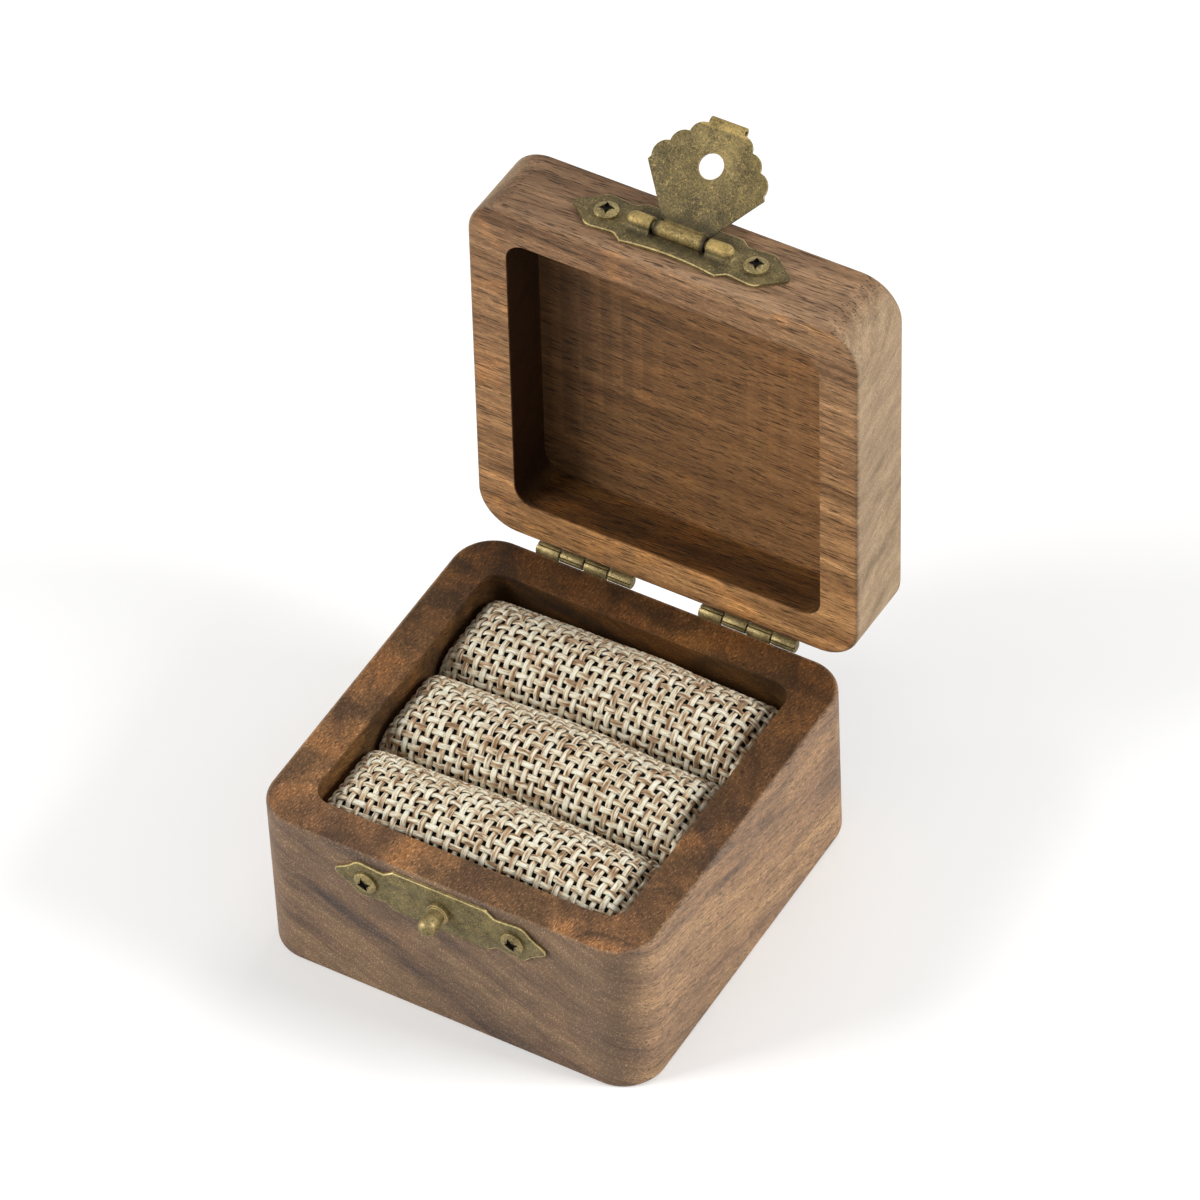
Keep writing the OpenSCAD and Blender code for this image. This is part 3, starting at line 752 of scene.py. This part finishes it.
hasp_tones = (0.055, 0.043, 0.02), (0.112, 0.087, 0.04), (0.2, 0.152, 0.062)
bronze_sheet = bronze("bronze_sheet", (0.075, 0.061, 0.029), (0.138, 0.112, 0.053), (0.22, 0.175, 0.076),
                      rub=0.7)
bronze_hasp = bronze("bronze_hasp", *hasp_tones, rub=0.6, painted_highlight=hump_highlight, painted_shade=shade_by_pin)
bronze_flap = bronze("bronze_flap", *hasp_tones, rub=0.7, painted_highlight=flap_highlight, painted_shade=shade_by_pin)
bronze_turned = bronze("bronze_turned", (0.09, 0.068, 0.028), (0.24, 0.185, 0.08), (0.42, 0.32, 0.14),
                       rub=0.3, gloss=0.1)
# Rounded edges of the sheet pieces: brighter than the faces, partly as rubbed plating and partly as painted
# highlight
bronze_edge_wear_and_highlight = bronze("bronze_edge_wear_and_highlight", (0.24, 0.185, 0.08), (0.5, 0.38, 0.17), (0.72, 0.56, 0.25),
                     rub=0.3, scratch=(0.7, 0.52, 0.22), gloss=0.1)
# Painted shade: the screw heads' flat tops darker and their cross recesses near black
head_top_shade = bronze("head_top_shade", (0.045, 0.036, 0.017), (0.105, 0.083, 0.038), (0.24, 0.185, 0.08),
                     rub=0.5)
recess_shade_black = finish_material(new_material("recess_shade_black"), (0.012, 0.01, 0.007, 1.0), 0.8, **{
    "Specular IOR Level": 0.1})

# Places of the other finishes in a worked piece's list, whose first one is its own: the rounded edges'
# finish, partly worn plating and partly painted highlight, then the painted shade of the screw recesses and
# of the screw head tops
EDGE, RECESS_SHADE, HEAD_SHADE = 1, 2, 3


def paint_head_shade(piece, out, head_r, head_h):
    """Blackens the cross recesses of two pan heads, whose flat side faces out, as painted shade, and gives
    that side a darker, duller finish as painted shade, which leaves the rounded rim brighter
    """
    mesh = piece.data
    top = max(v.co.dot(out) for v in mesh.vertices)
    for side in (-1, 1):
        head = [v.co for v in mesh.vertices if v.co.x * side > 0 and top - v.co.dot(out) < 0.5 * head_h]
        low = Vector(min(c[i] for c in head) for i in range(3))
        high = Vector(max(c[i] for c in head) for i in range(3))
        axis = (low + high) / 2
        for face in mesh.polygons:
            from_axis = face.center - axis
            radial = (from_axis - out * from_axis.dot(out)).length
            depth = top - face.center.dot(out)
            faces_out = face.normal.dot(out)
            in_wall = abs(faces_out) < 0.5
            in_bottom = faces_out > 0.9 and depth > 0.5 * head_h
            if radial < 0.7 * head_r and depth < 0.8 * head_h and (in_wall or in_bottom):
                face.material_index = RECESS_SHADE
            elif faces_out > 0.97 and depth < 0.2 * head_h:
                face.material_index = HEAD_SHADE


def weigh_outline(mesh):
    """Marks the sharp edges of the sheet's outline, clear of the rolled barrel, humps and lip"""
    sides = {}
    for face in mesh.polygons:
        for key in face.edge_keys:
            sides.setdefault(key, []).append(face.normal)
    weights = mesh.attributes.new("bevel_weight_edge", "FLOAT", "EDGE")
    for line in mesh.edges:
        ends = [mesh.vertices[i].co / MM for i in line.vertices]
        away = [math.hypot(end.y - flap_axis[1], end.z - flap_axis[2]) for end in ends]
        sharp = sides[line.key][0].angle(sides[line.key][1], 0.0) > sharp_angle
        weights.data[line.index].value = float(sharp and min(away) > 2.6 and max(away) < flap_reach - 2.4)


def worked_copy(node, edge, material):
    """A copy of one built piece with its edges rounded by the width edge"""
    bpy.ops.object.select_all(action="DESELECT")
    piece = nodes[node].copy()
    piece.data = nodes[node].data.copy()
    piece.name = node + "_worked"
    piece.parent = None
    del piece["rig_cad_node"]
    bpy.context.scene.collection.objects.link(piece)
    bpy.context.view_layer.objects.active = piece
    piece.select_set(True)
    bpy.ops.mesh.customdata_custom_splitnormals_clear()
    bpy.ops.object.mode_set(mode="EDIT")
    bpy.ops.mesh.select_all(action="SELECT")
    bpy.ops.mesh.remove_doubles(threshold=0.0005 * MM)
    bpy.ops.mesh.dissolve_limited(angle_limit=math.radians(0.5))
    bpy.ops.object.mode_set(mode="OBJECT")
    give(piece, material, material if "hinge" in node else bronze_edge_wear_and_highlight, recess_shade_black, head_top_shade)
    bevel = piece.modifiers.new("edge", "BEVEL")
    bevel.width = edge * MM
    bevel.segments = 2
    bevel.material = EDGE
    bevel.limit_method = "ANGLE"
    bevel.angle_limit = sharp_angle
    if material in (bronze_hasp, bronze_flap):
        weigh_outline(piece.data)
        bevel.limit_method = "WEIGHT"
    bpy.ops.object.modifier_apply(modifier="edge")
    bpy.ops.object.shade_smooth_by_angle(angle=math.radians(40))
    if node in plate_screws_face:
        paint_head_shade(piece, plate_screws_face[node], plate_head_r * MM, plate_head_h * MM)
    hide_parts(node)
    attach(piece, nodes[node]["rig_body"])
    piece.select_set(False)


sharp_angle = math.radians(35)
plate_head_r = 1.7
plate_head_h = 0.9
plate_screws_face = {"hasp_screws": lid_front, "catch_screws": Vector((0, -1, 0))}
for node_name, edge, material in (
        ("hasp_plate", 0.15, bronze_hasp), ("hasp_flap", 0.1, bronze_flap),
        ("catch_plate", 0.16, bronze_sheet), ("catch_stud", 0.08, bronze_turned),
        ("hasp_screws", 0.06, bronze_turned), ("catch_screws", 0.06, bronze_turned),
        ("hinge_base_screws", 0.04, bronze_turned), ("hinge_lid_screws", 0.04, bronze_turned),
        ("hinge_left_base_leaf", 0.06, bronze_turned), ("hinge_left_lid_leaf", 0.06, bronze_turned),
        ("hinge_right_base_leaf", 0.06, bronze_turned), ("hinge_right_lid_leaf", 0.06, bronze_turned)):
    worked_copy(node_name, edge, material)
for node_name in ("hinge_left_pin", "hinge_right_pin", "hasp_pin"):
    give(nodes[node_name], bronze_turned)

# Floor, soft light and camera: a pale matt table under a white sky, lit most from the left and right.
# The floor and the sky are white to the eye and in reflections, but light the box only gently.


def seen_directly(owner):
    """1 for what the camera, a reflection or a clear piece looks at, and 0 for light that falls"""
    path = add(owner, "ShaderNodeLightPath").outputs
    looked_at = larger(owner, path["Is Camera Ray"], path["Is Glossy Ray"])
    return larger(owner, looked_at, path["Is Transmission Ray"])


bpy.ops.mesh.primitive_plane_add(size=6.0, location=(0, 0, 0))
floor = bpy.context.object
floor.name = "floor"
floor_white = new_material("floor_white")
floor_glow = product(floor_white, seen_directly(floor_white), 0.115)
give(floor, finish_material(floor_white, (0.85, 0.85, 0.845, 1.0), 0.9, **{
    "Specular IOR Level": 0.1, "Emission Color": (1, 1, 0.99, 1), "Emission Strength": floor_glow}))

world = bpy.data.worlds.new("studio")
world.use_nodes = True
world.node_tree.nodes.clear()
bpy.context.scene.world = world
sky_strength = add(world, "ShaderNodeMapRange", {0: seen_directly(world), "To Min": 0.38, "To Max": 1.0})
sky = add(world, "ShaderNodeBackground", {"Strength": sky_strength.outputs[0]})
add(world, "ShaderNodeOutputWorld", {"Surface": sky.outputs[0]})


def softbox(name, place, size, watts):
    """A square lamp that faces the box"""
    lamp = bpy.data.lights.new(name, "AREA")
    lamp.size = size
    lamp.energy = watts
    holder = bpy.data.objects.new(name, lamp)
    bpy.context.scene.collection.objects.link(holder)
    holder.location = place
    holder.rotation_euler = (lamps_aim - Vector(place)).to_track_quat("-Z", "Y").to_euler()


lamps_aim = Vector((0, 0, 0.04))
softbox("softbox_left", (-0.6, -0.5, 0.45), 0.4, 7.5)
softbox("softbox_right", (0.7, 0.2, 0.4), 0.3, 6.0)
softbox("softbox_back", (0.05, 0.5, 0.8), 0.4, 1.5)

azimuth = math.radians(32.338)
elevation = math.radians(45.999)
roll = math.radians(-3.107)
lens_at = Vector((437.3, -677.0, 888.6)) * MM
back = Vector((math.sin(azimuth) * math.cos(elevation), -math.cos(azimuth) * math.cos(elevation),
               math.sin(elevation)))
right = Vector((math.cos(azimuth), math.sin(azimuth), 0))
above = back.cross(right)
camera_right = right * math.cos(roll) + above * math.sin(roll)
camera_up = -right * math.sin(roll) + above * math.cos(roll)
camera_data = bpy.data.cameras.new("camera")
camera_data.sensor_width = 36.0
camera_data.lens = 261.63
camera_data.clip_start = 0.05
camera = bpy.data.objects.new("camera", camera_data)
bpy.context.scene.collection.objects.link(camera)
facing = Matrix((camera_right, camera_up, back)).transposed().to_4x4()
camera.matrix_world = Matrix.Translation(lens_at) @ facing
bpy.context.scene.camera = camera
bpy.context.scene.view_settings.view_transform = "Standard"
